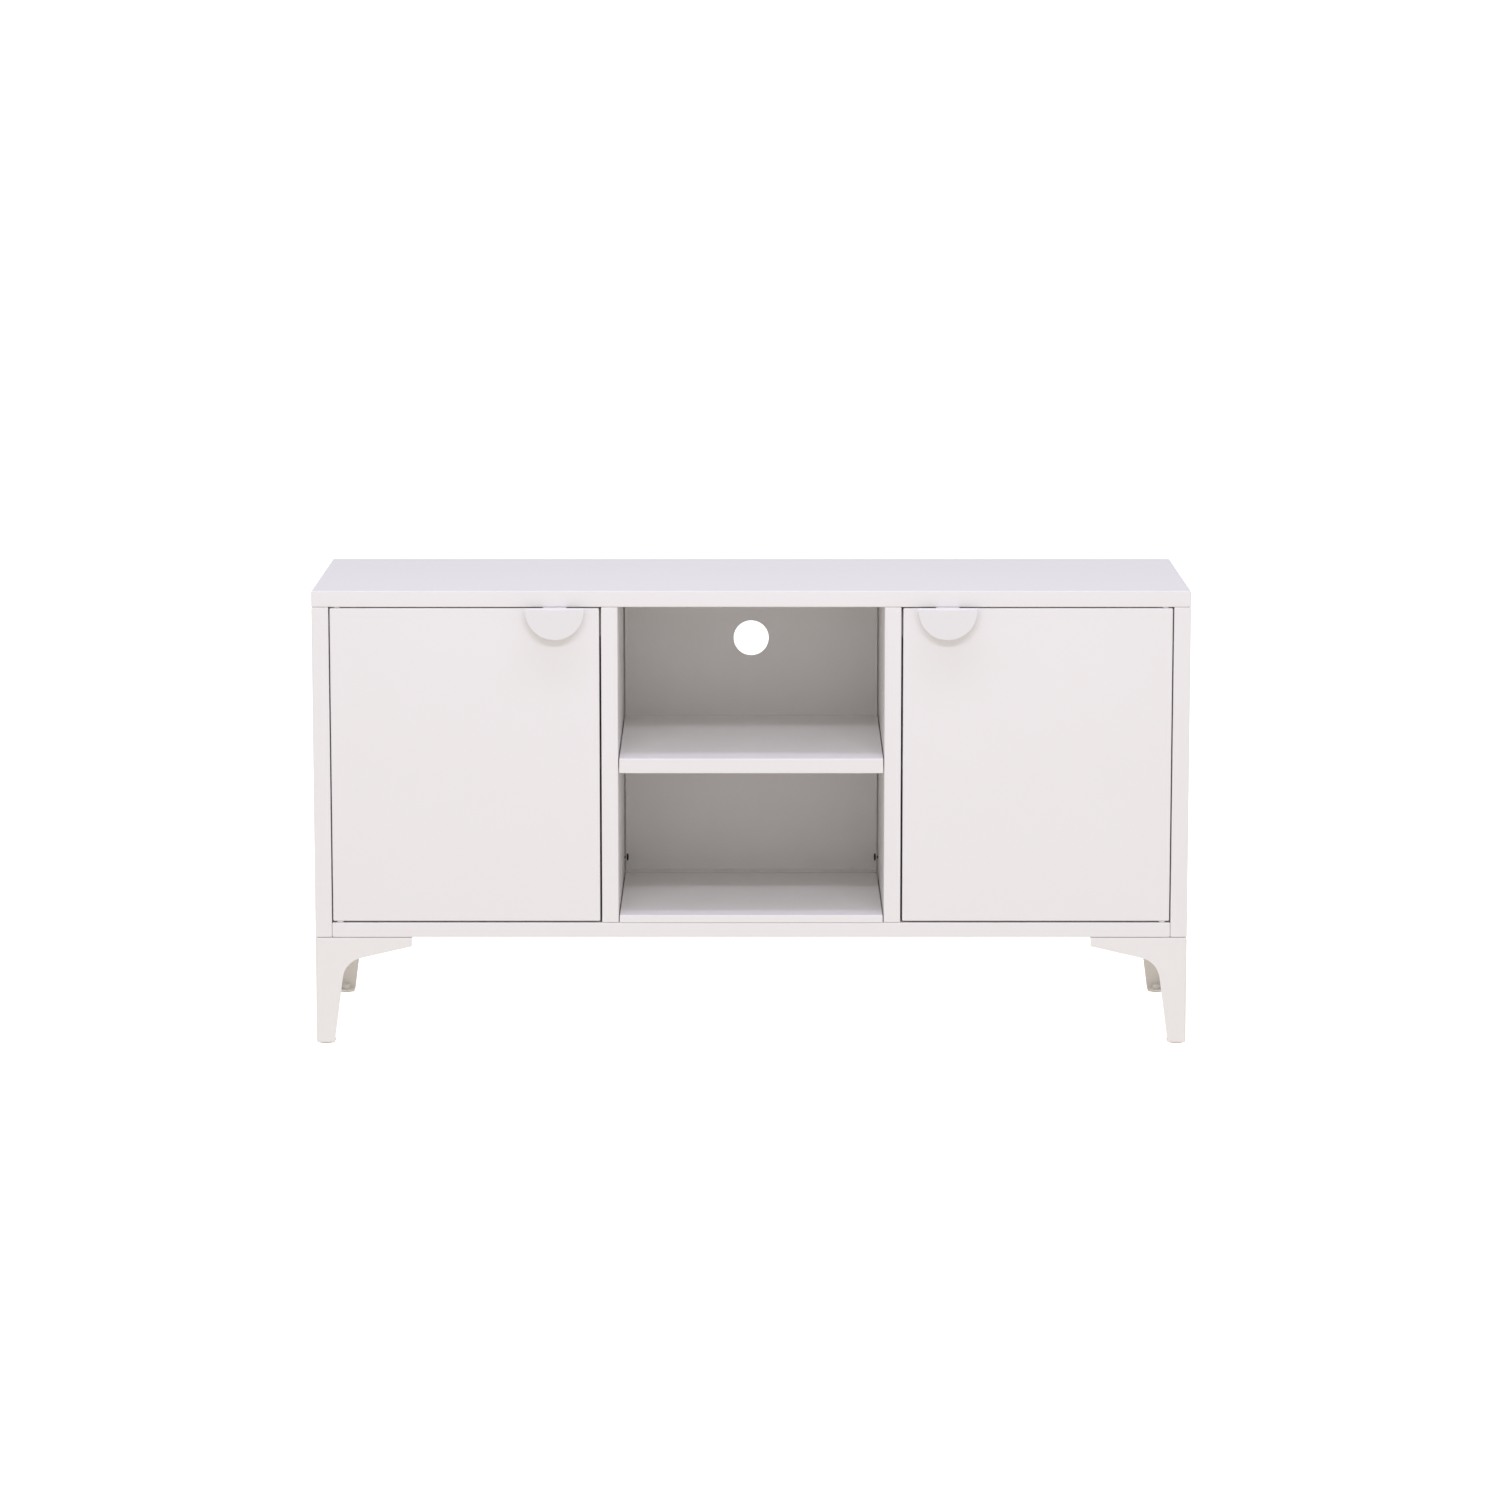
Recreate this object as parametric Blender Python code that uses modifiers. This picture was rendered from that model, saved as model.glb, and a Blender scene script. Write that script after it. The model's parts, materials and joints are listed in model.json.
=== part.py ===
"""TV stand of folded sheet steel: two hinged doors, an open middle bay and four pressed corner legs.

Metres, +Z up, and the front faces -Y. The origin is on the floor, under the middle of the stand's box.
Left and right are as seen from the front, so left is -X.
"""

import math

import bmesh
import bpy
from mathutils import Matrix, Vector

# Overall size
WIDTH = 1.200
DEPTH = 0.380
HEIGHT = 0.630
LEG_HEIGHT = 0.150

# Sheet and fits
SHEET = 0.0010
LEG_SHEET = 0.0020
BEND = 0.0016
FIT = 0.0003  # gap left between pieces that touch
HOLE_FIT = 0.0004  # added to a shank's radius for its hole

# Carcass
TOP_THICK = 0.022
SIDE_THICK = 0.023
RAIL = 0.0203
DIVIDER_IN = 0.1823  # middle of the stand to a divider's skin
DIVIDER_THICK = 0.0227
TOP_RETURN = 0.020
RAIL_RETURN = 0.028
POST_RETURN = 0.055  # front and rear returns of the sides and dividers
END_RETURN = 0.025  # their top and bottom returns
BACK_FACE = 0.354  # front plane to the face of the back panels
BACK_FLANGE = 0.024
CUPBOARD_BACK_FLANGE = 0.012
BACK_GAP = 0.0018
CABLE_HOLE_RADIUS = 0.025
CABLE_HOLE_Z = 0.519

# Shelves
TRAY_THICK = 0.0104
SHELF_HALF = 0.181
SHELF_THICK = 0.0207
SHELF_TOP = 0.399
SHELF_DEPTH = 0.330
SHELF_RISE = 0.012  # the middle shelf's rear edge sits this much higher than its front edge
CUPBOARD_SHELF_FRONT = 0.024
CUPBOARD_SHELF_BACK = 0.340
CUPBOARD_SHELF_THICK = 0.020
SHELF_RETURN = 0.012
PIN_ALONG = {"front": 0.045, "rear": 0.290}  # front edge of the middle shelf to its pins
CUPBOARD_PIN_ALONG = {"front": 0.045, "rear": 0.333}  # front plane to the cupboard shelves' pins

# Doors
DOOR_THICK = 0.018
HINGE_GAP = 0.0017
LATCH_GAP = 0.0026
DOOR_BOTTOM_GAP = 0.0023
DOOR_TOP_GAP = 0.0016
DOOR_BEND = 0.0020
PIVOT_IN = 0.0098  # door's outer edge to its pivot
PIVOT_BACK = 0.0058  # front plane to the pivot
LINER_DEPTH = 0.0085

# Handles
HANDLE_RADIUS = 0.040
HANDLE_STRAIGHT = 0.0004
HANDLE_IN = 0.0604  # door's latch edge to the handle's middle
HANDLE_REACH = 0.0135  # front plane to the handle's face
HANDLE_SHEET = 0.0010
HANDLE_BEND = 0.0030
HANDLE_SHOULDER = 0.0045
HANDLE_STEPS = 24
TONGUE_WIDTH = 0.032
TONGUE_OVER_DOOR = 0.013

# Legs, measured from the outer corner (along) and from the top of the leg (down)
ARM_LENGTH = 0.133
ARM_END = 0.0125
ARM_SLOPE_AT = Vector((0.0401, 0.0339))  # where the arm's lower edge would meet the foot's inner edge
ARM_FILLET = 0.032
FILLET_STEPS = 8
FOOT_WIDTH = 0.025
LEG_RETURN = 0.028
LEG_BEND = 0.0025
LEG_GAP = 0.0006
FOOT_Z = 0.0020

# Small pieces
TURN_STEPS = 12
CABLE_HOLE_STEPS = 48
THROUGH_SHEET = 0.006  # length of a drill that goes through one sheet
THROUGH_FLANGES = 0.020  # and of one that goes through a leg and a panel, or a flange and a divider
CUT_PAST = 0.004  # how far a notch's cutter runs past the metal
PIN_RADIUS = 0.0030
PIN_HEAD_RADIUS = 0.0050
PIN_HEAD = 0.0022
PIN_REACH = 0.0080
NOTCH_HEIGHT = 0.010
HINGE_RADIUS = 0.0025
HINGE_HEAD_RADIUS = 0.0038
HINGE_HEAD = 0.0035
HINGE_REACH = 0.0115
WASHER_RADIUS = 0.0046
BOLT_RADIUS = 0.0030
BOLT_HEAD_RADIUS = 0.0055
BOLT_HEAD = 0.0037
BOLT_LENGTH = 0.0110
BOLT_ALONG = 0.100
BOLT_IN = 0.014
SCREW_RADIUS = 0.0020
SCREW_HEAD_RADIUS = 0.0050
SCREW_HEAD = 0.0027
SCREW_LENGTH = 0.0110
SCREW_Z = 0.202
SCREW_BACK = 0.343
CATCH_SIZE = Vector((0.015, 0.022, 0.038))
CATCH_BELOW_TOP = 0.005
CATCH_EDGE = 0.001
GLIDE_RADIUS = 0.010
NUT_RADIUS = 0.0060
NUT_HEIGHT = 0.0062

# Worked out
FRONT = (HANDLE_REACH - DEPTH) / 2
BACK = FRONT + DEPTH
HALF = WIDTH / 2
SIDE_IN = HALF - SIDE_THICK
BODY_TOP = HEIGHT - TOP_THICK
FLOOR_Z = LEG_HEIGHT + RAIL
DIVIDER_OUT = DIVIDER_IN + DIVIDER_THICK
DOOR_IN = DIVIDER_OUT + LATCH_GAP
DOOR_OUT = SIDE_IN - HINGE_GAP
DOOR_LOW = FLOOR_Z + DOOR_BOTTOM_GAP
DOOR_HIGH = BODY_TOP - DOOR_TOP_GAP
DOOR_FRONT = FRONT + FIT
PIVOT_X = DOOR_OUT - PIVOT_IN
PIVOT_Y = FRONT + PIVOT_BACK
LEG_TOP = LEG_HEIGHT - LEG_GAP
TRAY_TOP = FLOOR_Z + FIT + TRAY_THICK
SHELF_TILT = math.atan2(SHELF_RISE, DEPTH - BACK_FLANGE)
SIDES = (("left", -1), ("right", 1))


def clear_scene():
    for obj in list(bpy.data.objects):
        bpy.data.objects.remove(obj, do_unlink=True)


def new_collection(name):
    collection = bpy.data.collections.new(name)
    bpy.context.scene.collection.children.link(collection)
    return collection


def make_material(name, colour, roughness, metallic=0.0):
    material = bpy.data.materials.new(name)
    material.use_nodes = True
    shader = material.node_tree.nodes["Principled BSDF"]
    shader.inputs["Base Color"].default_value = (*colour, 1.0)
    shader.inputs["Roughness"].default_value = roughness
    shader.inputs["Metallic"].default_value = metallic
    material.diffuse_color = (*colour, 1.0)
    return material


clear_scene()
STAND = new_collection("tv_stand")
CUTTERS = new_collection("cutters")
POWDER_COAT = make_material("powder_coat", (0.80, 0.76, 0.76), 0.38)
ZINC = make_material("zinc_steel", (0.62, 0.62, 0.60), 0.35, 1.0)
DARK_STEEL = make_material("dark_steel", (0.12, 0.11, 0.10), 0.45, 1.0)
NYLON = make_material("nylon", (0.82, 0.80, 0.77), 0.50)


def add_object(name, mesh_or_bmesh, material, collection=STAND):
    if isinstance(mesh_or_bmesh, bmesh.types.BMesh):
        mesh = bpy.data.meshes.new(name)
        mesh_or_bmesh.to_mesh(mesh)
        mesh_or_bmesh.free()
    else:
        mesh = mesh_or_bmesh
    obj = bpy.data.objects.new(name, mesh)
    collection.objects.link(obj)
    if material:
        mesh.materials.append(material)
    return obj


def as_cutter(obj):
    obj.hide_render = True
    obj.display_type = "WIRE"
    return obj


def box_bmesh(low, high):
    """A cube primitive stretched to reach from one corner to the other."""
    low, high = Vector(low), Vector(high)
    bm = bmesh.new()
    bmesh.ops.create_cube(bm, size=1.0)
    size = Matrix.Diagonal((*(high - low), 1.0))
    bmesh.ops.transform(bm, matrix=Matrix.Translation((low + high) / 2) @ size, verts=bm.verts)
    return bm


def ordered_box(a, b):
    """Two opposite corners, given either way round, as (low, high)."""
    return tuple(map(min, a, b)), tuple(map(max, a, b))


def fold_and_thicken(obj, bend, sheet):
    """Rounds the folds of an open sheet, then gives it its thickness on the inner side."""
    bevel = obj.modifiers.new("folds", "BEVEL")
    bevel.width = bend
    bevel.segments = 2
    bevel.limit_method = "ANGLE"
    bevel.angle_limit = math.radians(50)
    solidify = obj.modifiers.new("sheet", "SOLIDIFY")
    solidify.thickness = sheet
    solidify.offset = -1.0
    solidify.use_even_offset = True


def pan(name, corner_a, corner_b, open_side, returns=None, bend=BEND):
    """A folded sheet pan: a box open on one side, with its rim turned in by returns.

    returns maps an outward direction, such as "-y", to the width of the return on that edge.
    """
    low, high = ordered_box(corner_a, corner_b)
    bm = box_bmesh(low, high)
    outward = Vector(open_side)
    mouth = max(bm.faces, key=lambda face: face.normal.dot(outward))
    if returns:
        bmesh.ops.inset_region(bm, faces=[mouth], thickness=min(returns.values()) / 2)
        for vert in mouth.verts:
            for axis, letter in enumerate("xyz"):
                if abs(outward[axis]) > 0.5:
                    continue
                middle = (low[axis] + high[axis]) / 2
                if vert.co[axis] > middle:
                    vert.co[axis] = high[axis] - returns["+" + letter]
                else:
                    vert.co[axis] = low[axis] + returns["-" + letter]
    bmesh.ops.delete(bm, geom=[mouth], context="FACES_ONLY")
    obj = add_object(name, bm, POWDER_COAT)
    fold_and_thicken(obj, bend, SHEET)
    return obj


def cut(obj, cutter):
    hole = obj.modifiers.new(cutter.name, "BOOLEAN")
    hole.operation = "DIFFERENCE"
    hole.object = cutter


def drill(name, centre, axis, radius, length, *objects, steps=TURN_STEPS):
    """A round hole through each object, centred on a point and running along an axis."""
    bm = bmesh.new()
    turn = Vector((0, 0, 1)).rotation_difference(Vector(axis)).to_matrix().to_4x4()
    bmesh.ops.create_cone(
        bm, cap_ends=True, segments=steps, radius1=radius, radius2=radius, depth=length,
        matrix=Matrix.Translation(centre) @ turn,
    )
    cutter = as_cutter(add_object(name, bm, None, CUTTERS))
    for obj in objects:
        cut(obj, cutter)


def notch(name, low, high, obj):
    cut(obj, as_cutter(add_object(name, box_bmesh(*ordered_box(low, high)), None, CUTTERS)))


def turned(name, profile, place, axis, material, closed=False):
    """A turned piece. The profile's (radius, height) points run from the top of the axis down to its foot,
    or once round a ring's section, and axis is the way that height runs."""
    bm = bmesh.new()
    verts = [bm.verts.new((radius, 0, height)) for radius, height in profile]
    for first, second in zip(verts, verts[1:]):
        bm.edges.new((first, second))
    if closed:
        bm.edges.new((verts[-1], verts[0]))
    obj = add_object(name, bm, material)
    screw = obj.modifiers.new("turn", "SCREW")
    screw.steps = screw.render_steps = TURN_STEPS
    screw.use_merge_vertices = True
    screw.merge_threshold = 0.00005
    obj.location = place
    obj.rotation_euler = Vector((0, 0, 1)).rotation_difference(Vector(axis)).to_euler()
    return obj


def headed_pin(name, place, axis, radius, length, head_radius, head, material):
    """A shank with a head: place is under the head, and axis points from there along the shank."""
    crown = head * 0.35
    profile = [
        (0, length),
        (radius * 0.75, length),
        (radius, length - radius * 0.35),
        (radius, 0),
        (head_radius, 0),
        (head_radius, -(head - crown)),
        (head_radius * 0.7, -head),
        (0, -head),
    ]
    return turned(name, profile, place, axis, material)


def make_carcass():
    all_round = dict.fromkeys(("+x", "-x", "+y", "-y"), TOP_RETURN)
    top = pan("top_panel", (-HALF, FRONT, BODY_TOP), (HALF, BACK, HEIGHT), (0, 0, -1), all_round)
    all_round = dict.fromkeys(("+x", "-x", "+y", "-y"), RAIL_RETURN)
    reach = SIDE_IN - FIT
    bottom = pan(
        "bottom_panel", (-reach, FRONT, LEG_HEIGHT), (reach, BACK, FLOOR_Z), (0, 0, -1), all_round
    )
    posts = {"-y": POST_RETURN, "+y": POST_RETURN, "-z": END_RETURN, "+z": END_RETURN}
    uprights = {}
    for side, sign in SIDES:
        uprights["side", side] = pan(
            f"side_panel_{side}",
            (sign * SIDE_IN, FRONT, LEG_HEIGHT), (sign * HALF, BACK, BODY_TOP - FIT),
            (-sign, 0, 0), posts,
        )
        uprights["divider", side] = pan(
            f"divider_{side}",
            (sign * DIVIDER_IN, FRONT, FLOOR_Z + FIT), (sign * DIVIDER_OUT, BACK, BODY_TOP - FIT),
            (sign, 0, 0), posts,
        )
    return top, bottom, uprights


def make_back_panels():
    rear = FRONT + BACK_FACE + SHEET
    reach = DIVIDER_IN - BACK_GAP
    centre = pan(
        "back_panel_centre",
        (-reach, rear - BACK_FLANGE, TRAY_TOP + FIT), (reach, rear, BODY_TOP - FIT), (0, -1, 0),
    )
    drill("cable_hole", (0, rear, CABLE_HOLE_Z), (0, 1, 0), CABLE_HOLE_RADIUS,
          THROUGH_FLANGES, centre, steps=CABLE_HOLE_STEPS)
    for side, sign in SIDES:
        pan(
            f"back_panel_{side}",
            (sign * (DIVIDER_OUT + BACK_GAP), rear - CUPBOARD_BACK_FLANGE, FLOOR_Z + 2 * FIT),
            (sign * (SIDE_IN - BACK_GAP), rear, BODY_TOP - FIT),
            (0, -1, 0),
        )
    return centre


def make_centre_bay(uprights, back_centre):
    pan(
        "centre_floor_tray",
        (-SHELF_HALF, FRONT, FLOOR_Z + FIT), (SHELF_HALF, FRONT + BACK_FACE - SHEET, TRAY_TOP),
        (0, 0, -1),
    )
    all_round = dict.fromkeys(("+x", "-x", "+y", "-y"), SHELF_RETURN)
    # The shelf is made level about its front top edge, then tipped up at the rear.
    shelf = pan(
        "centre_shelf",
        (-SHELF_HALF, 0, -SHELF_THICK), (SHELF_HALF, SHELF_DEPTH, 0), (0, 0, -1), all_round,
    )
    shelf.location = (0, FRONT, SHELF_TOP)
    shelf.rotation_euler = (SHELF_TILT, 0, 0)
    for side, sign in SIDES:
        for end, along in PIN_ALONG.items():
            seat = NOTCH_HEIGHT - SHELF_THICK  # top of the notch, in the shelf's own height
            for_notch = notch_box(sign, SHELF_HALF, along, -SHELF_THICK, seat)
            cutter = as_cutter(
                add_object(f"notch_{end}_{side}", box_bmesh(*for_notch), None, CUTTERS)
            )
            cutter.location = shelf.location
            cutter.rotation_euler = shelf.rotation_euler
            cut(shelf, cutter)
            under = Vector((0, along, seat - FIT - PIN_RADIUS))
            under = Matrix.Rotation(SHELF_TILT, 3, "X") @ under + shelf.location
            shelf_pin(f"centre_shelf_pin_{end}_{side}", sign, DIVIDER_IN, under,
                      uprights["divider", side])
        corner = (sign * (DIVIDER_IN - BACK_GAP - SHEET - FIT), FRONT + SCREW_BACK, SCREW_Z)
        headed_pin(f"back_screw_{side}", corner, (sign, 0, 0), SCREW_RADIUS, SCREW_LENGTH,
                   SCREW_HEAD_RADIUS, SCREW_HEAD, DARK_STEEL)
        drill(f"back_screw_hole_{side}", corner, (1, 0, 0), SCREW_RADIUS + HOLE_FIT,
              THROUGH_FLANGES, back_centre, uprights["divider", side])


def notch_box(sign, edge, along, low, high):
    """The box that cuts a pin's notch up from the lower rim of a shelf's side flange."""
    half = PIN_RADIUS + HOLE_FIT
    return ordered_box(
        (sign * (edge - SHELF_RETURN - CUT_PAST), along - half, low - CUT_PAST),
        (sign * (edge + CUT_PAST), along + half, high),
    )


def shelf_pin(name, sign, wall, place, upright, away=1):
    """A pin whose head is behind a wall at x = wall, on the side that away names: +1 is outboard.
    Its shank stands out of the wall the other way by PIN_REACH."""
    under_head = (sign * (wall + away * (SHEET + FIT)), place[1], place[2])
    headed_pin(name, under_head, (-sign * away, 0, 0), PIN_RADIUS, PIN_REACH + SHEET + FIT,
               PIN_HEAD_RADIUS, PIN_HEAD, ZINC)
    drill(f"{name}_hole", (sign * wall, place[1], place[2]), (1, 0, 0), PIN_RADIUS + HOLE_FIT,
          THROUGH_SHEET, upright)


def make_cupboard_shelves(uprights):
    all_round = dict.fromkeys(("+x", "-x", "+y", "-y"), SHELF_RETURN)
    low = SHELF_TOP - CUPBOARD_SHELF_THICK
    inner = DIVIDER_OUT + BACK_GAP
    outer = SIDE_IN - BACK_GAP
    for side, sign in SIDES:
        shelf = pan(
            f"cupboard_shelf_{side}",
            (sign * inner, FRONT + CUPBOARD_SHELF_FRONT, low),
            (sign * outer, FRONT + CUPBOARD_SHELF_BACK, SHELF_TOP),
            (0, 0, -1), all_round,
        )
        for end, along in CUPBOARD_PIN_ALONG.items():
            for where, wall, edge, away in (
                ("inner", DIVIDER_OUT, inner, -1), ("outer", SIDE_IN, outer, 1),
            ):
                hang_cupboard_shelf(shelf, side, sign, (where, end), (wall, edge, away), FRONT + along,
                                    uprights)


def hang_cupboard_shelf(shelf, side, sign, names, walls, along, uprights):
    """One notch in a cupboard shelf's rim, and the pin under it. away is +1 where the wall is outboard."""
    where, end = names
    wall, edge, away = walls
    low = SHELF_TOP - CUPBOARD_SHELF_THICK
    half = PIN_RADIUS + HOLE_FIT
    notch(f"notch_{where}_{end}_{side}",
          (sign * (edge - away * (SHELF_RETURN + CUT_PAST)), along - half, low - CUT_PAST),
          (sign * (edge + away * CUT_PAST), along + half, low + NOTCH_HEIGHT), shelf)
    place = (0, along, low + NOTCH_HEIGHT - FIT - PIN_RADIUS)
    kind = "divider" if where == "inner" else "side"
    shelf_pin(f"cupboard_shelf_pin_{where}_{end}_{side}", sign, wall, place, uprights[kind, side], away)


def make_handle(side, sign):
    """A half-round plate, its top edge folded back and drawn out into a tongue over the door's top edge."""
    middle = sign * (DOOR_IN + HANDLE_IN)
    face = FRONT - HANDLE_REACH
    top = DOOR_HIGH + FIT + HANDLE_SHEET
    lower = top - HANDLE_BEND - HANDLE_STRAIGHT
    bm = bmesh.new()
    arc = [math.pi * step / HANDLE_STEPS for step in range(HANDLE_STEPS + 1)]
    rim = [(HANDLE_RADIUS * math.cos(a), -HANDLE_RADIUS * math.sin(a)) for a in arc]
    plate = [bm.verts.new((middle + x, face, lower + z)) for x, z in rim]
    shoulder = face + HANDLE_SHOULDER
    tip = DOOR_FRONT + TONGUE_OVER_DOOR
    half = TONGUE_WIDTH / 2
    corners = [bm.verts.new((middle + s * HANDLE_RADIUS, face, top)) for s in (-1, 1)]
    bm.faces.new(plate + corners)
    outline = [(HANDLE_RADIUS, shoulder), (half, shoulder), (half, tip),
               (-half, tip), (-half, shoulder), (-HANDLE_RADIUS, shoulder)]
    bm.faces.new(corners + [bm.verts.new((middle + x, y, top)) for x, y in outline])
    bmesh.ops.recalc_face_normals(bm, faces=bm.faces)
    turn_outward(bm, Vector((middle, DOOR_FRONT, lower)))
    obj = add_object(f"handle_{side}", bm, POWDER_COAT)
    fold_and_thicken(obj, HANDLE_BEND, HANDLE_SHEET)
    return obj


def turn_outward(bm, inside):
    """Turns every face of an open folded sheet to face away from a point in its hollow."""
    bm.normal_update()
    for face in bm.faces:
        if face.normal.dot(face.calc_center_median() - inside) < 0:
            face.normal_flip()


def make_door(side, sign):
    pivot = (sign * PIVOT_X, PIVOT_Y)
    back = DOOR_FRONT + DOOR_THICK
    door = pan(f"door_{side}", (sign * DOOR_IN, DOOR_FRONT, DOOR_LOW),
               (sign * DOOR_OUT, back, DOOR_HIGH), (0, 1, 0), bend=DOOR_BEND)
    inset = SHEET + HOLE_FIT
    pan(f"door_liner_{side}", (sign * (DOOR_IN + inset), back - FIT - LINER_DEPTH, DOOR_LOW + inset),
        (sign * (DOOR_OUT - inset), back - FIT, DOOR_HIGH - inset), (0, -1, 0))
    make_handle(side, sign)
    for end, edge in (("lower", DOOR_LOW), ("upper", DOOR_HIGH)):
        drill(f"pivot_hole_{end}_{side}", (*pivot, edge), (0, 0, 1), HINGE_RADIUS + HOLE_FIT,
              THROUGH_SHEET, door)


def make_hinge_pins(top, bottom):
    for side, sign in SIDES:
        pivot = (sign * PIVOT_X, PIVOT_Y)
        for end, wall, up, plate in (("lower", FLOOR_Z, 1, bottom), ("upper", BODY_TOP, -1, top)):
            under_head = (*pivot, wall - up * (SHEET + FIT))
            gap = DOOR_BOTTOM_GAP if up > 0 else DOOR_TOP_GAP
            length = SHEET + FIT + gap + HINGE_REACH
            headed_pin(f"hinge_pin_{end}_{side}", under_head, (0, 0, up), HINGE_RADIUS, length,
                       HINGE_HEAD_RADIUS, HINGE_HEAD, ZINC)
            bore = HINGE_RADIUS + HOLE_FIT
            drill(f"hinge_hole_{end}_{side}", (*pivot, wall), (0, 0, 1), bore, THROUGH_SHEET, plate)
            thick = gap - 2 * FIT
            ring = [(bore, 0), (bore, thick), (WASHER_RADIUS, thick), (WASHER_RADIUS, 0)]
            turned(f"pivot_washer_{end}_{side}", ring, (*pivot, wall + up * FIT - (up < 0) * thick),
                   (0, 0, 1), NYLON, closed=True)


def make_catches():
    """Magnetic catches on the dividers' front returns, just behind each door's latch edge."""
    for side, sign in SIDES:
        x = sign * (DIVIDER_OUT + FIT)
        y = DOOR_FRONT + DOOR_THICK + 2 * FIT
        z = BODY_TOP - CATCH_BELOW_TOP
        size = CATCH_SIZE
        low, high = ordered_box((x, y, z - size.z), (x + sign * size.x, y + size.y, z))
        obj = add_object(f"magnetic_catch_{side}", box_bmesh(low, high), NYLON)
        bevel = obj.modifiers.new("edges", "BEVEL")
        bevel.width = CATCH_EDGE
        bevel.segments = 2


def leg_outline():
    """The wall of a leg as (along, down) points: arm, fillet, tapered foot."""
    arm_tip = Vector((ARM_LENGTH, ARM_END))
    foot_tip = Vector((FOOT_WIDTH, LEG_TOP - FOOT_Z))
    to_arm = (arm_tip - ARM_SLOPE_AT).normalized()
    to_foot = (foot_tip - ARM_SLOPE_AT).normalized()
    half_angle = to_arm.angle(to_foot) / 2
    centre = ARM_SLOPE_AT + (to_arm + to_foot).normalized() * ARM_FILLET / math.sin(half_angle)
    touch = ARM_FILLET / math.tan(half_angle)
    start = ARM_SLOPE_AT + to_arm * touch - centre
    sweep = math.pi - 2 * half_angle
    turn = 1 if start.cross(ARM_SLOPE_AT + to_foot * touch - centre) > 0 else -1
    fillet = [centre + Matrix.Rotation(turn * sweep * step / FILLET_STEPS, 2) @ start
              for step in range(FILLET_STEPS + 1)]
    return [Vector((ARM_LENGTH, 0)), arm_tip, *fillet, foot_tip]


def make_leg(name, sign, end):
    """A folded corner leg. end is -1 at the front and 1 at the back."""
    corner = Vector((sign * HALF, FRONT if end < 0 else BACK, LEG_TOP))
    along_x = Vector((-sign, 0, 0))
    along_y = Vector((0, -end, 0))
    down = Vector((0, 0, -1))
    outline = leg_outline()
    bm = bmesh.new()
    peak = bm.verts.new(corner)
    toe = bm.verts.new(corner + down * (LEG_TOP - FOOT_Z))
    walls = []
    for along in (along_x, along_y):
        verts = [bm.verts.new(corner + along * p.x + down * p.y) for p in outline]
        bm.faces.new([peak, *verts, toe])
        walls.append(verts)
    inner = [
        (ARM_LENGTH, LEG_RETURN), (LEG_RETURN, LEG_RETURN), (LEG_RETURN, ARM_LENGTH),
    ]
    flange = [bm.verts.new(corner + along_x * a + along_y * b) for a, b in inner]
    bm.faces.new([peak, walls[0][0], *flange, walls[1][0]])
    sole = bm.verts.new(toe.co + along_x * FOOT_WIDTH + along_y * FOOT_WIDTH)
    bm.faces.new([toe, walls[0][-1], sole, walls[1][-1]])
    turn_outward(bm, corner + (along_x + along_y + down) * FOOT_WIDTH / 2)
    leg = add_object(name, bm, POWDER_COAT)
    fold_and_thicken(leg, LEG_BEND, LEG_SHEET)
    return leg


def make_legs(bottom, uprights):
    on_sole = FOOT_Z + LEG_SHEET + FIT
    glide_profile = [
        (0, on_sole + NUT_HEIGHT),
        (NUT_RADIUS * 0.8, on_sole + NUT_HEIGHT),
        (NUT_RADIUS, on_sole + NUT_HEIGHT * 0.85),
        (NUT_RADIUS, on_sole),
        (BOLT_RADIUS, on_sole),
        (BOLT_RADIUS, FOOT_Z - FIT),
        (GLIDE_RADIUS, FOOT_Z - FIT),
        (GLIDE_RADIUS, 0),
        (0, 0),
    ]
    for side, sign in SIDES:
        for place, end in (("front", -1), ("rear", 1)):
            leg = make_leg(f"leg_{place}_{side}", sign, end)
            edge = FRONT if end < 0 else BACK
            foot = (sign * (HALF - FOOT_WIDTH / 2), edge - end * FOOT_WIDTH / 2, 0)
            turned(f"foot_glide_{place}_{side}", glide_profile, foot, (0, 0, 1), NYLON)
            drill(f"glide_hole_{place}_{side}", foot, (0, 0, 1), BOLT_RADIUS + HOLE_FIT,
                  THROUGH_FLANGES, leg)
            spots = (
                ("arm", sign * (HALF - BOLT_ALONG), edge - end * BOLT_IN, bottom),
                ("side", sign * (HALF - BOLT_IN), edge - end * BOLT_ALONG, uprights["side", side]),
            )
            for arm, x, y, plate in spots:
                name = f"leg_bolt_{place}_{arm}_{side}"
                headed_pin(name, (x, y, LEG_TOP - LEG_SHEET - FIT), (0, 0, 1), BOLT_RADIUS,
                           BOLT_LENGTH, BOLT_HEAD_RADIUS, BOLT_HEAD, ZINC)
                drill(f"{name}_hole", (x, y, LEG_HEIGHT), (0, 0, 1), BOLT_RADIUS + HOLE_FIT,
                      THROUGH_FLANGES, leg, plate)


def main():
    top, bottom, uprights = make_carcass()
    back_centre = make_back_panels()
    make_centre_bay(uprights, back_centre)
    make_cupboard_shelves(uprights)
    for side, sign in SIDES:
        make_door(side, sign)
    make_hinge_pins(top, bottom)
    make_catches()
    make_legs(bottom, uprights)


main()
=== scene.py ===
import json
import math

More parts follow.
